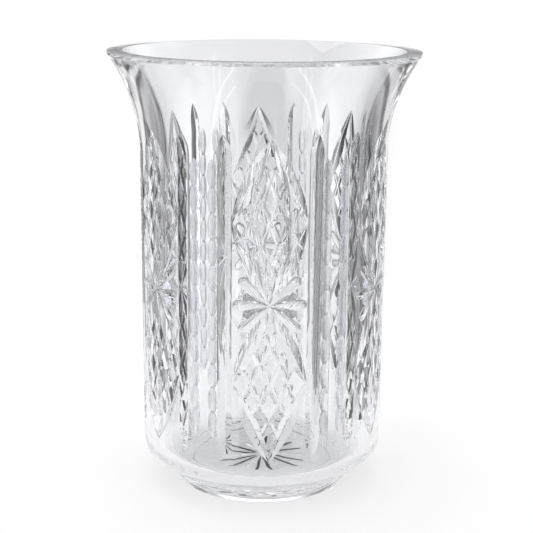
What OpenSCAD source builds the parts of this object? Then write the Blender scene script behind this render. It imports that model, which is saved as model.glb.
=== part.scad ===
// Cut crystal vase: a straight round body with a flared mouth, a bevelled heel
// and a low round foot.  Six cut panels of two tall diamonds and a star stand
// between long mitres, with a narrow strip of thumb cuts between the panels.
// The origin is at the middle of the resting face, +Z up, in millimetres, and
// the middle of the first panel faces -Y.

/* [Overall] */
// Height from the resting face to the top of the lip
overall_height = 254; // [250:1:270]
// Diameter across the mouth, outside the lip
mouth_diameter = 178; // [174:1:188]
// Diameter of the straight body
body_diameter = 142.5; // [138:0.5:148]
// Diameter of the foot
foot_diameter = 103; // [98:1:110]

/* [Wall and floor] */
// Thickness of the wall of the straight body
wall_thickness = 11; // [9:0.5:12]
// Width of the flat ring on top of the lip
lip_thickness = 9; // [8:0.5:10]
// Height of the inside floor above the resting face
floor_height = 13; // [10:0.5:16]
// Radius that joins the inside floor to the wall
floor_fillet = 15; // [12:1:18]

/* [Heel and foot] */
// Height of the foot
foot_height = 5; // [3:0.5:8]
// Height at which the heel bevel would meet the body with no rounding
heel_height = 19; // [17:0.5:22]
// Radius that softens the top of the heel bevel
heel_round = 9; // [4:0.5:10]
// Depth of the shallow recess under the foot
recess_depth = 1; // [0.5:0.5:2]
// Width of the flat ring that the vase rests on
resting_ring = 9; // [6:1:12]
// Rays of the star under the foot
star_rays = 18; // [12:6:24]
// Outer radius of the star under the foot
star_radius = 26; // [22:1:36]

/* [Mouth] */
// Height at which the flare starts
flare_start = 197; // [190:0.5:200]
// Height of the upright band outside the lip
lip_band = 2; // [1:0.5:5]

/* [Cutting] */
// Cut panels round the body
panels = 6; // [5:1:6]
// Angle from the middle of a panel to the mitre beside it
mitre_angle = 20; // [19:0.5:20.5]
// Angle from the middle of a panel to the thumb cuts beside it
thumb_angle = 25.2; // [24.5:0.1:25.5]
// Thumb cuts in one column
thumbs = 11; // [6:1:14]
// Height of the lowest point of the diamonds
pattern_bottom = 34; // [31:1:38]
// Height of the highest point of the diamonds
pattern_top = 213.5; // [205:0.5:214]
// Width of a diamond, measured round the body
diamond_width = 41.5; // [38:0.5:42]
// Depth of the long mitres
mitre_depth = 2.4; // [1.5:0.1:2.6]
// Depth of the cuts that outline the diamonds
border_depth = 2.4; // [1.5:0.1:2.6]
// Depth of the crossing cuts inside the diamonds
lattice_depth = 1.2; // [0.8:0.1:2]
// Depth of the star's petals
petal_depth = 1.6; // [1:0.1:2]
// Depth of the thumb cuts in the strips
thumb_depth = 1.5; // [1:0.1:1.8]
// Included angle of every V cut
groove_angle = 115; // [100:1:120]

/* [Hidden] */
$fn = 120;

body_r = body_diameter / 2;
inner_r = body_r - wall_thickness;
foot_r = foot_diameter / 2;
mouth_r = mouth_diameter / 2;
edge = 0.6;                             // small bevels on the lip and foot

// Radius of an arc that starts upright and moves out sideways over a rise.
function arc_r(rise, out) = (rise * rise + out * out) / (2 * out);

// The flare is an arc outside, which leaves the body upright and meets the lip
// band, and an arc inside, which meets the lip's top.
flare_r = arc_r(overall_height - lip_band - flare_start, mouth_r - body_r);
flare_centre = [body_r + flare_r, flare_start];
inside_r = arc_r(overall_height - flare_start, mouth_r - lip_thickness - inner_r);
inside_centre = [inner_r + inside_r, flare_start];

// Heights at which the named zones of the glass meet.
rim_joint = 216;
heel_joint = floor_height;

diamond_height = (pattern_top - pattern_bottom) / 2;
star_height = (pattern_top + pattern_bottom) / 2;
cells = 4;                              // lattice cells along a side of a diamond
mitre_bottom = 35;
mitre_top = 215;
strip_bottom = 47;
strip_top = 201;
thumb_overlap = 2;                      // how much longer a thumb cut is than its pitch
tip_gap = 0.8;                          // uncut glass from a cut's tip to the point that it aims at
star_hub = 6;                           // uncut middle of the star under the foot
star_depth = 0.6;

function to_degrees(arc) = arc / body_r * 180 / PI;
function sagitta(half_chord) = body_r - sqrt(body_r * body_r - half_chord * half_chord);

// The triangle across a V cut, with its point at -depth and its open side proud
// of the glass.
module v_section(depth, proud = 4) {
    reach = (depth + proud) * tan(groove_angle / 2);
    polygon([[-depth, 0], [proud, -reach], [proud, reach]]);
}

// A V cut along Z whose keel is depth under x = 0 in the middle and end_depth
// under it at both ends.  Local +X points out of the wall.
module lens_cutter(length, depth, end_depth = 0, proud = 4) {
    tilt = atan(2 * (depth - end_depth) / length);
    intersection_for (side = [-1, 1])
        translate([-depth, 0, 0])
            rotate([0, side * tilt, 0])
                translate([depth, 0, -length])
                    linear_extrude(2 * length) v_section(depth, proud);
}

// Places a cut arc millimetres round the body from a panel's middle, leaning
// lean degrees from upright towards larger arcs.
module on_body(arc, z, lean = 0) {
    rotate([0, 0, to_degrees(arc)])
        translate([body_r, 0, z])
            rotate([-lean, 0, 0]) children();
}

// A cut that tapers to a point just short of both ends, each given as
// [arc, height].
module lens_cut(from, to, depth) {
    run = to - from;
    middle = (from + to) / 2;
    on_body(middle[0], middle[1], atan2(run[0], run[1]))
        lens_cutter(norm(run) - 2 * tip_gap, depth, sagitta(run[0] / 2));
}

// A cut with a straight keel between two points of a panel.
module straight_cut(from, to, depth) {
    run = to - from;
    middle = (from + to) / 2;
    on_body(middle[0], middle[1], atan2(run[0], run[1]))
        translate([0, 0, -norm(run) / 2])
            linear_extrude(norm(run)) v_section(depth);
}

module diamond(z) {
    middle = [0, z];
    apex = [0, diamond_height / 2];
    for (side = [-1, 1]) {
        corner = [side * diamond_width / 2, 0];
        lens_cut(middle - apex, middle + corner, border_depth);
        lens_cut(middle - corner, middle + apex, border_depth);
        for (k = [1:cells - 1]) {
            start = middle - apex + (apex - corner) * k / cells;
            straight_cut(start, start + apex + corner, lattice_depth);
        }
    }
}

module petals(z) {
    for (side = [-1, 1]) {
        lens_cut([side * 2, z], [side * 21, z], petal_depth);
        for (up = [-1, 1]) {
            lens_cut([side * 2, z + up * 1.5], [side * 17, z + up * 14], petal_depth);
            lens_cut([side * 2, z + up * 0.5], [side * 15, z + up * 5], petal_depth);
        }
    }
}

module mitre() {
    translate([body_r, 0, (mitre_top + mitre_bottom) / 2])
        lens_cutter(mitre_top - mitre_bottom, mitre_depth);
}

module thumb_column() {
    pitch = (strip_top - strip_bottom) / thumbs;
    for (i = [0:thumbs - 1])
        translate([body_r, 0, strip_bottom + (i + 0.5) * pitch])
            lens_cutter(pitch + thumb_overlap, thumb_depth);
}

module body_cuts() {
    for (i = [0:panels - 1])
        rotate([0, 0, i * 360 / panels - 90]) {
            diamond(star_height + diamond_height / 2);
            diamond(star_height - diamond_height / 2);
            petals(star_height);
            for (side = [-1, 1]) {
                rotate([0, 0, side * mitre_angle]) mitre();
                rotate([0, 0, side * thumb_angle]) thumb_column();
            }
        }
}

// The wall's section through the flare, from height z0 to height z1.
module flare_section(z0, z1) {
    intersection() {
        difference() {
            translate(inside_centre) circle(inside_r);
            translate(flare_centre) circle(flare_r);
        }
        translate([0, z0]) square([mouth_r, z1 - z0]);
    }
}

module rim() {
    color([0.92, 0.94, 0.95])
        rotate_extrude()
            difference() {
                flare_section(rim_joint, overall_height);
                translate([mouth_r, overall_height]) rotate(45) square(edge * sqrt(2), center = true);
            }
}

// The outside from the top of the foot, up the heel bevel and the straight body
// to the flare.
module outside_section() {
    slope = atan2(body_r - foot_r, heel_height - foot_height);
    bend = heel_round * tan(slope / 2);
    round_centre = [body_r - heel_round, heel_height + bend];
    polygon(concat(
        [[0, flare_start], [0, foot_height], [foot_r, foot_height]],
        [for (i = [0:6]) let (a = -slope * (1 - i / 6))
            round_centre + heel_round * [cos(a), sin(a)]],
        [[body_r, flare_start]]));
}

module body_blank() {
    rotate_extrude() {
        difference() {
            outside_section();
            square([body_r, heel_joint]);
            translate([0, floor_height]) square([inner_r - floor_fillet, overall_height]);
            translate([0, floor_height + floor_fillet]) square([inner_r, overall_height]);
            translate([inner_r - floor_fillet, floor_height + floor_fillet]) circle(floor_fillet);
        }
        flare_section(flare_start, rim_joint);
    }
}

module body() {
    color([0.86, 0.90, 0.93])
        difference() {
            body_blank();
            body_cuts();
        }
}

module heel() {
    color([0.80, 0.86, 0.90])
        rotate_extrude()
            intersection() {
                outside_section();
                square([body_r, heel_joint]);
            }
}

module foot() {
    recess_r = foot_r - resting_ring;
    color([0.78, 0.84, 0.88])
        difference() {
            rotate_extrude()
                polygon([[0, recess_depth], [recess_r, recess_depth], [recess_r, 0], [foot_r - edge, 0],
                    [foot_r, edge], [foot_r, foot_height], [0, foot_height]]);
            for (i = [0:star_rays - 1])
                rotate([0, 0, i * 360 / star_rays])
                    translate([(star_hub + star_radius) / 2, 0, recess_depth])
                        rotate([0, 90, 0]) lens_cutter(star_radius - star_hub, star_depth, proud = 0.2);
        }
}

rim();
body();
heel();
foot();
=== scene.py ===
"""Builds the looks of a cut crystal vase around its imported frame.

The vase is one continuous piece of clear glass.  A smooth blank is spun from
its outline, and every cut is made in it the way a cutter makes it: a wheel
with a known edge is brought down on the wall, run along a path and lifted off.
All sizes are in millimetres on the outline and on the unrolled wall, and the
finished meshes are in metres.
"""

from __future__ import annotations

import logging
import math
from dataclasses import dataclass
from enum import Enum
from typing import Callable, Iterator, Sequence

import bmesh
import bpy
from mathutils import Matrix, Vector

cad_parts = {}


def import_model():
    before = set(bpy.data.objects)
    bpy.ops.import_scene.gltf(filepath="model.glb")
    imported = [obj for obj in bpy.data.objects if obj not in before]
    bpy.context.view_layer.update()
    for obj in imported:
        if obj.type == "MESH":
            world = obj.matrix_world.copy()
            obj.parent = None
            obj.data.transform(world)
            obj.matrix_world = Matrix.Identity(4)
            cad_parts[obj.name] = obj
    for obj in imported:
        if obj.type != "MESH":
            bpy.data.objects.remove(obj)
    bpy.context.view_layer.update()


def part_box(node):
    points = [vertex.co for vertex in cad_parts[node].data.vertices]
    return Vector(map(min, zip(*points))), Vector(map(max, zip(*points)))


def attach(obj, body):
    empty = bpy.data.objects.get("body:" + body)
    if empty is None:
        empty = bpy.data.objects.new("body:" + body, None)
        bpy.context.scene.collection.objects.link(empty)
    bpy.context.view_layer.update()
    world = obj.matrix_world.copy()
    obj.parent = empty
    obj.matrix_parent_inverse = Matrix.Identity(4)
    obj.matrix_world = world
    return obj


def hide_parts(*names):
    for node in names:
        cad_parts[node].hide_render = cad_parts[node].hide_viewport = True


LOG = logging.getLogger("vase")
MM = 0.001
TURN = 2 * math.pi

Point2 = tuple[float, float]
Placer = Callable[[float, float, float], Vector]


class Surface(Enum):
    """Which part of the glass a face belongs to, as its material slot."""

    BLANK = 0
    CUT = 1
    LIP = 2
    BASE = 3


def arc_points(centre: Point2, radius: float, start: float, end: float, steps: int) -> list[Point2]:
    """Gives points along an arc, both ends included.

    Args:
        centre: Centre of the arc as (r, z).
        radius: Radius of the arc.
        start: Angle of the first point, in degrees.
        end: Angle of the last point, in degrees.
        steps: Number of steps between the ends.

    Returns:
        The points as (r, z), from start to end.
    """
    angles = (math.radians(start + (end - start) * i / steps) for i in range(steps + 1))
    return [(centre[0] + radius * math.cos(a), centre[1] + radius * math.sin(a)) for a in angles]


@dataclass(frozen=True)
class Outline:
    """The vase's section, from the middle of its underside to the middle of its inside floor."""

    height: float
    mouth_r: float
    foot_r: float
    foot_height: float
    floor_height: float
    body_r: float = 71.25
    wall: float = 11.0
    lip_width: float = 9.0
    floor_fillet: float = 15.0
    heel_height: float = 19.0
    heel_round: float = 9.0
    recess_depth: float = 1.0
    resting_ring: float = 9.0
    flare_start: float = 197.0
    lip_band: float = 2.0
    edge: float = 0.6

    @classmethod
    def from_frame(cls) -> Outline:
        """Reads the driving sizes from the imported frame."""
        rim, heel, foot = (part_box(name)[1] / MM for name in ("rim", "heel", "foot"))
        return cls(height=rim.z, mouth_r=rim.x, foot_r=foot.x, foot_height=foot.z, floor_height=heel.z)

    @property
    def flare_r(self) -> float:
        """Radius of the arc that leaves the body upright and meets the lip band."""
        rise = self.height - self.lip_band - self.flare_start
        out = self.mouth_r - self.body_r
        return (rise ** 2 + out ** 2) / (2 * out)

    def outer_r(self, z: float) -> float:
        """Radius of the outside of the wall at height z."""
        if z <= self.flare_start:
            return self.body_r
        return self.body_r + self.flare_r - math.sqrt(self.flare_r ** 2 - (z - self.flare_start) ** 2)

    def underside(self) -> list[Point2]:
        """The recess, the resting ring and the side of the foot."""
        recess_r = self.foot_r - self.resting_ring
        return [
            (0.0, self.recess_depth),
            (recess_r - self.edge, self.recess_depth),
            *arc_points((recess_r - self.edge, 0.0), self.edge, 60, 0, 3),
            *arc_points((self.foot_r - self.edge, self.edge), self.edge, -90, 0, 4),
        ]

    def heel(self) -> list[Point2]:
        """The bevel from the foot to the body, softened at its top."""
        slope = math.degrees(math.atan2(self.body_r - self.foot_r, self.heel_height - self.foot_height))
        bend = self.heel_round * math.tan(math.radians(slope / 2))
        centre = (self.body_r - self.heel_round, self.heel_height + bend)
        return [(self.foot_r, self.foot_height), *arc_points(centre, self.heel_round, -slope, 0, 8)]

    def flare(self, start_r: float, end: Point2, steps: int = 24) -> list[Point2]:
        """One side of the flare, which leaves the body upright and bends outwards.

        Args:
            start_r: Radius of that side of the body.
            end: Where the arc ends, as (r, z).
            steps: Number of steps along it.

        Returns:
            The points as (r, z), from the body to the end.
        """
        rise, out = end[1] - self.flare_start, end[0] - start_r
        radius = (rise ** 2 + out ** 2) / (2 * out)
        turn = math.degrees(math.asin(rise / radius))
        return arc_points((start_r + radius, self.flare_start), radius, 180, 180 - turn, steps)

    def lip(self) -> list[Point2]:
        """The upright band and its rounded upper edge."""
        band_top = self.height - self.edge
        return arc_points((self.mouth_r - self.edge, band_top), self.edge, 0, 90, 4)

    def inside(self) -> list[Point2]:
        """The inside of the flare, the wall, the fillet and the floor."""
        inner_flare = self.flare(self.body_r - self.wall, (self.mouth_r - self.lip_width, self.height))
        fillet_centre = (self.body_r - self.wall - self.floor_fillet, self.floor_height + self.floor_fillet)
        return [
            *reversed(inner_flare),
            *arc_points(fillet_centre, self.floor_fillet, 0, -90, 14),
            (0.0, self.floor_height),
        ]

    def points(self) -> list[Point2]:
        """The whole outline, with both ends on the axis."""
        outer_flare = self.flare(self.body_r, (self.mouth_r, self.height - self.lip_band))
        return [*self.underside(), *self.heel(), *outer_flare, *self.lip(), *self.inside()]


def spun(points: list[Point2], segments: int) -> bmesh.types.BMesh:
    """Spins an outline round the vase's axis into a closed mesh.

    Args:
        points: The outline as (r, z) in millimetres, with both ends on the axis.
        segments: Number of steps round the axis.

    Returns:
        The closed mesh in metres, with its faces outwards.
    """
    bm = bmesh.new()
    verts = [bm.verts.new((r * MM, 0, z * MM)) for r, z in points]
    edges = [bm.edges.new(pair) for pair in zip(verts, verts[1:])]
    bmesh.ops.spin(bm, geom=[*verts, *edges], axis=(0, 0, 1), cent=(0, 0, 0), angle=TURN,
                   steps=segments, use_merge=True, use_duplicate=False)
    bmesh.ops.remove_doubles(bm, verts=bm.verts, dist=1e-6)
    bmesh.ops.recalc_face_normals(bm, faces=bm.faces)
    return bm


@dataclass(frozen=True)
class VeeWheel:
    """A wheel whose edge is a V with a narrow flat worn on its point."""

    half_angle: float = 57.5
    flat: float = 0.35

    def section(self, height: float) -> list[Point2]:
        """The edge's section up to a height above its point, as (across, up)."""
        reach = self.flat + height * math.tan(math.radians(self.half_angle))
        return [(-reach, height), (-self.flat, 0.0), (self.flat, 0.0), (reach, height)]


@dataclass(frozen=True)
class RoundWheel:
    """A wheel with a rounded edge."""

    edge_radius: float = 3.0
    steps: int = 10

    def section(self, height: float) -> list[Point2]:
        """The edge's section up to a height above its lowest line, as (across, up)."""
        reach = math.sqrt(2 * self.edge_radius * height)
        across = [reach * (2 * i / self.steps - 1) for i in range(self.steps + 1)]
        return [(x, x ** 2 / (2 * self.edge_radius)) for x in across]


@dataclass(frozen=True)
class Stroke:
    """One pass of a wheel between two points of the unrolled surface.

    run_in and run_out are the lengths over which the wheel goes down and comes
    up again, rows is the number of steps in each, and headroom is how far the
    cutter stands out of the glass.
    """

    start: Point2
    end: Point2
    depth: float
    wheel: VeeWheel | RoundWheel
    run_in: float
    run_out: float
    rows: int = 6
    headroom: float = 1.0

    @property
    def length(self) -> float:
        """Distance between the points where the wheel touches and leaves the surface."""
        return math.dist(self.start, self.end)

    def depth_at(self, along: float) -> float:
        """Depth of the wheel's point at a distance along the stroke, negative in the air."""
        short_in = max(0.0, self.run_in - along) / self.run_in
        short_out = max(0.0, along - (self.length - self.run_out)) / self.run_out
        return self.depth * (1 - max(short_in, short_out) ** 2)

    def stations(self) -> list[float]:
        """Distances along the stroke where the cutter has a row, from air to air."""
        level = self.length - self.run_in - self.run_out
        into = [self.run_in * i / self.rows for i in range(-1, self.rows)]
        along = [self.run_in + level * i / self.rows for i in range(self.rows)] if level > 1e-6 else []
        out = [self.length - self.run_out * i / self.rows for i in range(self.rows, -2, -1)]
        return [*into, *along, *out]

    def cutter(self, place: Placer) -> bmesh.types.BMesh:
        """Sweeps the wheel's edge along the stroke.

        Args:
            place: Takes (across the page, up the page, out of the surface) in
                millimetres to a point in metres.

        Returns:
            The swept solid, closed and with its faces outwards.
        """
        stations = self.stations()
        bm = bmesh.new()
        section = self.wheel.section(self.depth + self.headroom)
        face = bm.faces.new([bm.verts.new((x, 0, up)) for x, up in section])
        swept = bmesh.ops.extrude_face_region(bm, geom=[face])
        far = [item for item in swept["geom"] if isinstance(item, bmesh.types.BMVert)]
        bmesh.ops.translate(bm, verts=far, vec=(0, len(stations) - 1, 0))
        rails = [edge for edge in bm.edges if edge.verts[0].co.y != edge.verts[1].co.y]
        bmesh.ops.subdivide_edges(bm, edges=rails, cuts=len(stations) - 2, use_grid_fill=True)
        ahead = (Vector(self.end) - Vector(self.start)).normalized()
        across = Vector((ahead.y, -ahead.x))
        for vert in bm.verts:
            along = stations[round(vert.co.y)]
            at = Vector(self.start) + ahead * along + across * vert.co.x
            vert.co = place(at.x, at.y, vert.co.z - self.depth_at(along))
        bmesh.ops.recalc_face_normals(bm, faces=bm.faces)
        return bm


@dataclass(frozen=True)
class Petal:
    """One petal of a panel's star, from its root to its tip, both measured from the star's middle."""

    root: Point2
    tip: Point2
    depth: float
    run_in: float
    run_out: float

    def stroke(self, star_height: float, side: int, up: int, wheel: RoundWheel) -> Stroke:
        """The stroke that cuts this petal or one of its mirror images.

        Args:
            star_height: Height of the star's middle.
            side: 1, or -1 for the image on the other side of the star.
            up: 1, or -1 for the image upside down.
            wheel: The wheel that cuts it.

        Returns:
            The stroke, from the petal's root to its tip.
        """
        start, end = ((side * across, star_height + up * rise) for across, rise in (self.root, self.tip))
        return Stroke(start, end, self.depth, wheel, self.run_in, self.run_out)


@dataclass(frozen=True)
class CutPattern:
    """The panels, mitres, strips and foot star that are cut in the blank."""

    outline: Outline
    panels: int = 6
    bottom: float = 34.0
    top: float = 213.5
    width: float = 41.5
    border_depth: float = 2.4
    cells: int = 4
    lattice_depth: float = 1.05
    lattice_gap: float = 3.0
    lattice_run: float = 4.0
    mitre_angle: float = 20.0
    mitre_bottom: float = 35.0
    mitre_top: float = 215.5
    mitre_depth: float = 2.4
    mitre_run: float = 12.0
    thumb_angle: float = 25.6
    thumbs: int = 11
    strip_bottom: float = 47.0
    strip_top: float = 201.0
    thumb_overlap: float = 2.0
    thumb_depth: float = 1.3
    rays: int = 18
    ray_start: float = 3.5
    ray_end: float = 27.0
    ray_depth: float = 0.3
    ray_run_in: float = 8.0
    ray_run_out: float = 3.0
    level_petal: Petal = Petal(root=(1.0, 0.0), tip=(20.5, 0.0), depth=1.5, run_in=15.0, run_out=3.0)
    slanted_petals: tuple[Petal, ...] = (
        Petal(root=(1.0, 1.0), tip=(16.5, 15.0), depth=1.5, run_in=16.0, run_out=3.0),
        Petal(root=(1.0, 0.4), tip=(14.5, 5.5), depth=1.1, run_in=11.0, run_out=2.5),
    )
    mitre_wheel: VeeWheel = VeeWheel()
    lattice_wheel: VeeWheel = VeeWheel(flat=0.4)
    petal_wheel: RoundWheel = RoundWheel(edge_radius=3.0)
    thumb_wheel: RoundWheel = RoundWheel(edge_radius=3.2)
    star_wheel: RoundWheel = RoundWheel(edge_radius=1.3, steps=8)

    @property
    def diamond_height(self) -> float:
        """Height of one of a panel's two diamonds."""
        return (self.top - self.bottom) / 2

    @property
    def star_height(self) -> float:
        """Height of the star in the middle of a panel."""
        return (self.top + self.bottom) / 2

    def on_wall(self, across: float, up: float, out: float) -> Vector:
        """Places a point of the unrolled wall, where the first panel's middle faces -Y."""
        angle = across / self.outline.body_r - TURN / 4
        r = self.outline.outer_r(up) + out
        return Vector((r * math.cos(angle), r * math.sin(angle), up)) * MM

    def under_foot(self, across: float, up: float, out: float) -> Vector:
        """Places a point of the flat recess under the foot."""
        return Vector((across, up, self.outline.recess_depth - out)) * MM

    def lens(self, start: Point2, end: Point2, depth: float, wheel: VeeWheel | RoundWheel) -> Stroke:
        """A stroke that is deepest in its middle and tapers to both ends."""
        half = math.dist(start, end) / 2
        return Stroke(start, end, depth, wheel, run_in=half, run_out=half)

    def diamonds(self) -> Iterator[Stroke]:
        """The borders and the lattice of a panel's two diamonds."""
        half_w, half_h = self.width / 2, self.diamond_height / 2
        for middle in (self.star_height - half_h, self.star_height + half_h):
            low, high = Vector((0, middle - half_h)), Vector((0, middle + half_h))
            for side in (-1, 1):
                corner = Vector((side * half_w, middle))
                opposite = Vector((-side * half_w, middle))
                yield self.lens(tuple(low), tuple(corner), self.border_depth, self.mitre_wheel)
                yield self.lens(tuple(opposite), tuple(high), self.border_depth, self.mitre_wheel)
                for k in range(1, self.cells):
                    start = low.lerp(opposite, k / self.cells)
                    end = corner.lerp(high, k / self.cells)
                    gap = (end - start).normalized() * self.lattice_gap
                    yield Stroke(tuple(start + gap), tuple(end - gap), self.lattice_depth, self.lattice_wheel,
                                 run_in=self.lattice_run, run_out=self.lattice_run)

    def star(self) -> Iterator[Stroke]:
        """The rounded petals of a panel's star, each from near its middle outwards."""
        for side in (-1, 1):
            yield self.level_petal.stroke(self.star_height, side, 1, self.petal_wheel)
            for up in (-1, 1):
                for petal in self.slanted_petals:
                    yield petal.stroke(self.star_height, side, up, self.petal_wheel)

    def mitres(self) -> Iterator[Stroke]:
        """The long upright mitres on both sides of a panel."""
        for side in (-1, 1):
            arc = math.radians(side * self.mitre_angle) * self.outline.body_r
            yield Stroke((arc, self.mitre_bottom), (arc, self.mitre_top), self.mitre_depth, self.mitre_wheel,
                         run_in=self.mitre_run, run_out=self.mitre_run)

    def thumb_cuts(self, odd: bool) -> Iterator[Stroke]:
        """Every second thumb cut of the columns on both sides of a panel.

        Args:
            odd: Whether to start from the second cut from the bottom.

        Yields:
            The strokes, none of which meets another.
        """
        pitch = (self.strip_top - self.strip_bottom) / self.thumbs
        half = (pitch + self.thumb_overlap) / 2
        for side in (-1, 1):
            arc = math.radians(side * self.thumb_angle) * self.outline.body_r
            for i in range(int(odd), self.thumbs, 2):
                middle = self.strip_bottom + (i + 0.5) * pitch
                yield self.lens((arc, middle - half), (arc, middle + half), self.thumb_depth,
                                self.thumb_wheel)

    def star_rays(self, first: int) -> Iterator[Stroke]:
        """One ray of the star under the foot, which is repeated for every panel.

        Args:
            first: The ray's number within the first panel's share.

        Yields:
            The stroke that cuts it, from the star's middle outwards.
        """
        angle = TURN * first / self.rays
        outwards = Vector((math.cos(angle), math.sin(angle)))
        yield Stroke(tuple(outwards * self.ray_start), tuple(outwards * self.ray_end), self.ray_depth,
                     self.star_wheel, run_in=self.ray_run_in, run_out=self.ray_run_out)

    def passes(self) -> Iterator[tuple[list[Stroke], Placer]]:
        """The strokes that can be made together, because none of them meets another."""
        for stroke in self.diamonds():
            yield [stroke], self.on_wall
        for stroke in self.star():
            yield [stroke], self.on_wall
        yield list(self.mitres()), self.on_wall
        for odd in (False, True):
            yield list(self.thumb_cuts(odd)), self.on_wall
        for first in range(self.rays // self.panels):
            yield list(self.star_rays(first)), self.under_foot

    def cutters(self) -> Iterator[bmesh.types.BMesh]:
        """One mesh for each pass, with its strokes repeated for every panel."""
        for strokes, place in self.passes():
            whole = bmesh.new()
            for stroke in strokes:
                part = stroke.cutter(place)
                mesh = bpy.data.meshes.new("stroke")
                part.to_mesh(mesh)
                part.free()
                for i in range(self.panels):
                    mesh.transform(Matrix.Rotation(TURN / self.panels, 4, "Z"))
                    whole.from_mesh(mesh)
                bpy.data.meshes.remove(mesh)
            for face in whole.faces:
                face.material_index = Surface.CUT.value
            yield whole


def new_object(name: str, bm: bmesh.types.BMesh, materials: list[bpy.types.Material]) -> bpy.types.Object:
    """Makes an object of a mesh and frees the mesh.

    Args:
        name: The object's name.
        bm: The mesh, in the frame's metres.
        materials: Its materials, in the order of its slots.

    Returns:
        The new object, in the scene.
    """
    mesh = bpy.data.meshes.new(name)
    bm.to_mesh(mesh)
    bm.free()
    for material in materials:
        mesh.materials.append(material)
    obj = bpy.data.objects.new(name, mesh)
    bpy.context.scene.collection.objects.link(obj)
    return obj


def cut_away(blank: bpy.types.Object, cutters: Iterator[bmesh.types.BMesh]) -> None:
    """Takes each cutter out of the blank in turn, then removes the cutters.

    Args:
        blank: The object to cut.
        cutters: The cutters' meshes.
    """
    tools = []
    for i, bm in enumerate(cutters):
        tool = new_object(f"cutter_{i}", bm, list(blank.data.materials))
        tool.hide_render = True
        modifier = blank.modifiers.new(tool.name, "BOOLEAN")
        modifier.operation = "DIFFERENCE"
        modifier.solver = "MANIFOLD"
        modifier.object = tool
        tools.append(tool)
    graph = bpy.context.evaluated_depsgraph_get()
    cut = bpy.data.meshes.new_from_object(blank.evaluated_get(graph))
    blank.modifiers.clear()
    blank.data = cut
    for tool in tools:
        mesh = tool.data
        bpy.data.objects.remove(tool)
        bpy.data.meshes.remove(mesh)


def shade(obj: bpy.types.Object, blank_angle: float = 35.0, cut_angle: float = 14.0) -> None:
    """Shades smooth except along the edges of the cuts.

    Args:
        obj: The cut glass.
        blank_angle: Least angle of a sharp edge in the blank, in degrees.
        cut_angle: Least angle of a sharp edge within the cuts, in degrees.
    """
    limits = {surface.value: math.radians(blank_angle) for surface in Surface}
    limits[Surface.CUT.value] = math.radians(cut_angle)
    bm = bmesh.new()
    bm.from_mesh(obj.data)
    for face in bm.faces:
        face.smooth = True
    for edge in bm.edges:
        sides = {face.material_index for face in edge.link_faces}
        borders_cut = Surface.CUT.value in sides and len(sides) > 1
        edge.smooth = not borders_cut and edge.calc_face_angle(0.0) < min(limits[side] for side in sides)
    bm.to_mesh(obj.data)
    bm.free()


class NodeBuilder:
    """Adds shader nodes to one material or world."""

    def __init__(self, owner: bpy.types.Material | bpy.types.World) -> None:
        """Starts from an empty node tree."""
        owner.use_nodes = True
        self.tree = owner.node_tree
        self.tree.nodes.clear()

    def add(self, kind: str, settings: dict | None = None, **sockets: object) -> bpy.types.Node:
        """Adds a node.

        Args:
            kind: The node's type.
            settings: Its properties, which are set first.  "stops" holds a
                ramp's pairs of a position and a grey.
            **sockets: Values or links for its inputs, with _ for a space, or _
                and a number for an input's place.

        Returns:
            The node.
        """
        node = self.tree.nodes.new(kind)
        for key, value in (settings or {}).items():
            if key == "stops":
                self.set_stops(node.color_ramp, value)
            else:
                setattr(node, key, value)
        for key, value in sockets.items():
            socket = node.inputs[int(key[1:]) if key.startswith("_") else key.replace("_", " ")]
            if isinstance(value, Term):
                self.tree.links.new(value.socket, socket)
            elif isinstance(value, bpy.types.NodeSocket):
                self.tree.links.new(value, socket)
            else:
                socket.default_value = value
        return node

    @staticmethod
    def set_stops(ramp: bpy.types.ColorRamp, stops: Sequence[Point2]) -> None:
        """Gives a ramp its stops.

        Args:
            ramp: The ramp, with two stops or more.
            stops: Pairs of a position from 0 to 1 and the grey there.
        """
        while len(ramp.elements) < len(stops):
            ramp.elements.new(0.5)
        for element, (position, grey) in zip(ramp.elements, stops):
            element.position = position
            element.color = (grey, grey, grey, 1.0)

    def term(self, kind: str, output: str, settings: dict | None = None, **sockets: object) -> Term:
        """Adds a node and gives one of its outputs as a term for shader maths."""
        return Term(self, self.add(kind, settings, **sockets).outputs[output])


@dataclass(frozen=True)
class Term:
    """A socket that can be used in arithmetic, where each sign adds a maths node."""

    nodes: NodeBuilder
    socket: bpy.types.NodeSocket

    def maths(self, operation: str, first: Term | float, second: Term | float) -> Term:
        """Adds the node for one operation on two terms or numbers."""
        return self.nodes.term("ShaderNodeMath", "Value", {"operation": operation}, _0=first, _1=second)

    def __add__(self, other: Term | float) -> Term:
        return self.maths("ADD", self, other)

    def __radd__(self, other: float) -> Term:
        return self.maths("ADD", other, self)

    def __sub__(self, other: Term | float) -> Term:
        return self.maths("SUBTRACT", self, other)

    def __rsub__(self, other: float) -> Term:
        return self.maths("SUBTRACT", other, self)

    def __mul__(self, other: Term | float) -> Term:
        return self.maths("MULTIPLY", self, other)

    def __rmul__(self, other: float) -> Term:
        return self.maths("MULTIPLY", other, self)

    def __truediv__(self, other: Term | float) -> Term:
        return self.maths("DIVIDE", self, other)

    def __rtruediv__(self, other: float) -> Term:
        return self.maths("DIVIDE", other, self)


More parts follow.
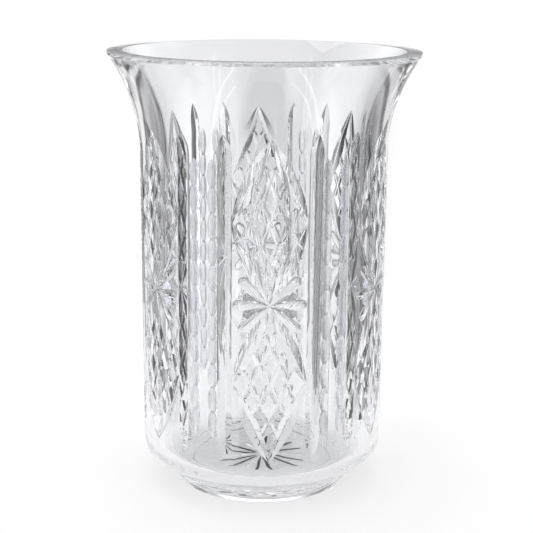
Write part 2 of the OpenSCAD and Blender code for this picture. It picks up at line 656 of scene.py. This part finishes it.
@dataclass(frozen=True)
class CrystalFinish:
    """Clear crystal whose surface has low waves and faint dull patches.

    The sizes are the waves' width and height and the patches' width in
    millimetres, and dullness is the roughness of the dullest patch.
    """

    name: str
    wave_size: float
    wave_height: float
    dullness: float
    patch_size: float = 30.0
    ior: float = 1.545
    colour: tuple[float, float, float, float] = (0.927, 0.93, 0.946, 1.0)

    def material(self) -> bpy.types.Material:
        """Makes the finish's material."""
        material = bpy.data.materials.new(self.name)
        nodes = NodeBuilder(material)
        place = nodes.term("ShaderNodeTexCoord", "Object")
        waves = nodes.term("ShaderNodeTexNoise", "Fac", Vector=place, Scale=1 / (self.wave_size * MM),
                           Detail=1.0)
        patches = nodes.term("ShaderNodeTexNoise", "Fac", Vector=place, Scale=1 / (self.patch_size * MM),
                             Detail=3.0)
        height = waves * (self.wave_height * MM)
        bumped = nodes.add("ShaderNodeBump", Height=height, Distance=1.0, Strength=1.0)
        glass = nodes.add("ShaderNodeBsdfPrincipled", Base_Color=self.colour, IOR=self.ior,
                          Roughness=patches * self.dullness, Transmission_Weight=1.0,
                          Normal=bumped.outputs["Normal"])
        nodes.add("ShaderNodeOutputMaterial", Surface=glass.outputs["BSDF"])
        return material


@dataclass(frozen=True)
class Vase:
    """The whole vase as one piece of glass, with a finish for each Surface in order."""

    outline: Outline
    segments: int = 300
    finishes: tuple[CrystalFinish, ...] = (
        CrystalFinish("crystal_blank", wave_size=22, wave_height=0.05, dullness=0.006),
        CrystalFinish("crystal_cut", wave_size=5, wave_height=0.012, dullness=0.012),
        CrystalFinish("crystal_lip", wave_size=2.5, wave_height=0.03, dullness=0.05),
        CrystalFinish("crystal_base", wave_size=10, wave_height=0.3, dullness=0.006),
    )

    def surface_at(self, z: float) -> Surface:
        """Tells which part of the uncut blank lies at height z."""
        if z > self.outline.height - self.outline.lip_band:
            return Surface.LIP
        if self.outline.recess_depth < z < self.outline.heel_height + self.outline.heel_round:
            return Surface.BASE
        return Surface.BLANK

    def build(self) -> bpy.types.Object:
        """Spins the blank, cuts it and puts it on the frame.

        Returns:
            The finished vase, which stands in for all of the frame's nodes.
        """
        blank = spun(self.outline.points(), self.segments)
        for face in blank.faces:
            face.material_index = self.surface_at(face.calc_center_median().z / MM).value
        vase = new_object("vase_glass", blank, [finish.material() for finish in self.finishes])
        cut_away(vase, CutPattern(self.outline).cutters())
        shade(vase)
        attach(vase, "root")
        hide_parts("rim", "body", "heel", "foot")
        LOG.info("%s: %d faces", vase.name, len(vase.data.polygons))
        return vase


@dataclass(frozen=True)
class Studio:
    """The table, the surroundings, the lights and the camera.

    Lengths are in metres and angles in degrees.  The surroundings are greys by
    direction: pairs of an azimuth, 0 behind the vase and 180 behind the camera,
    and a grey.  backdrop is all round below eye level, card is taken from it
    behind the vase, wings are added to it beside the card, and boxes are the
    two softboxes beside the camera.  upper is the grey above eye level and
    ceiling the grey overhead.  The edges are sines of elevation where one band
    gives way to the next, as (start, end).
    """

    distance: float = 0.6941
    eye_height: float = 0.3066
    pitch: float = 14.48
    turn: float = -3.1
    aim: float = -0.17
    roll: float = 0.49
    lens: float = 81.9
    table_width: float = 0.34
    table_depth: float = 0.58
    table_middle: float = 0.16
    table_drop: float = 0.0002
    backdrop: tuple[Point2, ...] = (
        (-180, 0.04), (-110, 0.05), (-60, 0.1), (-44, 0.5), (-29, 0.55), (-25.5, 0.03), (-22.5, 0.03),
        (-20.5, 0.95), (-9.5, 1.04), (16.5, 1.04), (19, 0.92), (30, 0.82), (33, 0.03), (37, 0.03),
        (41, 0.52), (65, 0.1), (110, 0.05), (180, 0.04),
    )
    card: tuple[Point2, ...] = ((-3, 0), (-1.5, 0.12), (3, 0.16), (5, 0.15), (7.5, 0.28), (9.5, 0))
    wings: tuple[Point2, ...] = (
        (-20.5, 0), (-18, 0.22), (-6, 0.22), (-3.5, 0), (9.5, 0), (12, 0.22), (20, 0.22), (24, 0),
    )
    boxes: tuple[Point2, ...] = (
        (-156, 0), (-152, 1.3), (-130, 1.3), (-129, 4), (-127.5, 4), (-126.5, 1.2), (-95, 1.1), (-85, 0),
        (105, 0), (112, 1.0), (129, 1.0), (130, 4), (131.5, 4), (132.5, 1.1), (150, 1.1), (156, 0),
    )
    backdrop_edge: Point2 = (0.08, 0.0)
    upper_edge: Point2 = (0.0, 0.08)
    ceiling_edge: Point2 = (0.6, 0.8)
    card_edge: Point2 = (-0.068, -0.1)
    wings_edge: Point2 = (-0.13, -0.17)
    upper: float = 0.25
    ceiling: float = 0.8
    softbox_power: float = 8.0
    softbox_size: tuple[float, float] = (1.3, 1.0)
    softbox_place: tuple[float, float, float] = (-0.15, 0.35, 1.35)
    table_glow: float = 0.66
    table_white: float = 0.38

    def camera(self) -> None:
        """Sets up the camera a little above the rim, looking down."""
        data = bpy.data.cameras.new("camera")
        data.lens = self.lens
        data.sensor_width = 36.0
        data.clip_start = 0.01
        obj = bpy.data.objects.new("camera", data)
        heading = math.radians(self.turn)
        place = Vector((math.sin(heading), -math.cos(heading), 0)) * self.distance
        place.z = self.eye_height
        look = (
            Matrix.Rotation(math.radians(self.turn + self.aim), 4, "Z")
            @ Matrix.Rotation(math.radians(90 - self.pitch), 4, "X")
            @ Matrix.Rotation(math.radians(self.roll), 4, "Z")
        )
        obj.matrix_world = Matrix.Translation(place) @ look
        bpy.context.scene.collection.objects.link(obj)
        bpy.context.scene.camera = obj

    def table(self) -> None:
        """Lays the white acrylic table, lit from below, just under the resting ring."""
        bm = bmesh.new()
        bmesh.ops.create_grid(bm, x_segments=1, y_segments=1, size=0.5)
        bmesh.ops.scale(bm, verts=bm.verts, vec=(self.table_width, self.table_depth, 1.0))
        bmesh.ops.translate(bm, verts=bm.verts, vec=(0, self.table_middle, -self.table_drop))
        material = bpy.data.materials.new("table_white")
        nodes = NodeBuilder(material)
        white = (self.table_white,) * 3 + (1.0,)
        acrylic = nodes.add("ShaderNodeBsdfPrincipled", Base_Color=white, Roughness=1.0,
                            Specular_IOR_Level=0.0, Emission_Color=(1.0, 1.0, 1.0, 1.0),
                            Emission_Strength=self.table_glow)
        nodes.add("ShaderNodeOutputMaterial", Surface=acrylic.outputs["BSDF"])
        new_object("table", bm, [material])

    def room(self) -> None:
        """Surrounds the vase with the backdrop, the softboxes beside the camera and the ceiling."""
        world = bpy.data.worlds.new("studio")
        bpy.context.scene.world = world
        nodes = NodeBuilder(world)
        ray = nodes.add("ShaderNodeSeparateXYZ", Vector=nodes.term("ShaderNodeTexCoord", "Generated")).outputs
        turn = nodes.term("ShaderNodeMath", "Value", {"operation": "ARCTAN2"}, _0=ray["X"], _1=ray["Y"])
        share = turn / TURN + 0.5
        backdrop, card, wings, boxes = (
            nodes.term("ShaderNodeValToRGB", "Color",
                       {"stops": [(angle / 360 + 0.5, grey) for angle, grey in greys]}, Fac=share)
            for greys in (self.backdrop, self.card, self.wings, self.boxes)
        )
        low, above, high, below_lip, below_neck = (
            nodes.term("ShaderNodeMapRange", "Result", {"interpolation_type": "SMOOTHSTEP"}, Value=ray["Z"],
                       From_Min=start, From_Max=end)
            for start, end in (self.backdrop_edge, self.upper_edge, self.ceiling_edge, self.card_edge,
                               self.wings_edge)
        )
        grey = low * (backdrop - card * below_lip + wings * below_neck)
        grey = grey + above * (1.0 - high) * self.upper + (1.0 - high) * boxes + high * self.ceiling
        light = nodes.add("ShaderNodeBackground", Color=grey, Strength=1.0)
        nodes.add("ShaderNodeOutputWorld", Surface=light.outputs["Background"])

    def softbox(self) -> None:
        """Hangs a large soft light over the table."""
        data = bpy.data.lights.new("softbox", "AREA")
        data.shape = "RECTANGLE"
        data.size, data.size_y = self.softbox_size
        data.energy = self.softbox_power
        obj = bpy.data.objects.new("softbox", data)
        obj.matrix_world = Matrix.Translation(self.softbox_place)
        bpy.context.scene.collection.objects.link(obj)

    def build(self) -> None:
        """Builds the studio and sets how light is traced through thick glass."""
        self.camera()
        self.table()
        self.room()
        self.softbox()
        scene = bpy.context.scene
        scene.view_settings.view_transform = "Standard"
        scene.cycles.max_bounces = 48
        scene.cycles.transmission_bounces = 48
        scene.cycles.diffuse_bounces = 12
        scene.cycles.glossy_bounces = 24


def main() -> None:
    """Builds the vase and its studio."""
    logging.basicConfig(level=logging.INFO, format="%(name)s %(message)s")
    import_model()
    Vase(Outline.from_frame()).build()
    Studio().build()


if __name__ == "__main__":
    main()
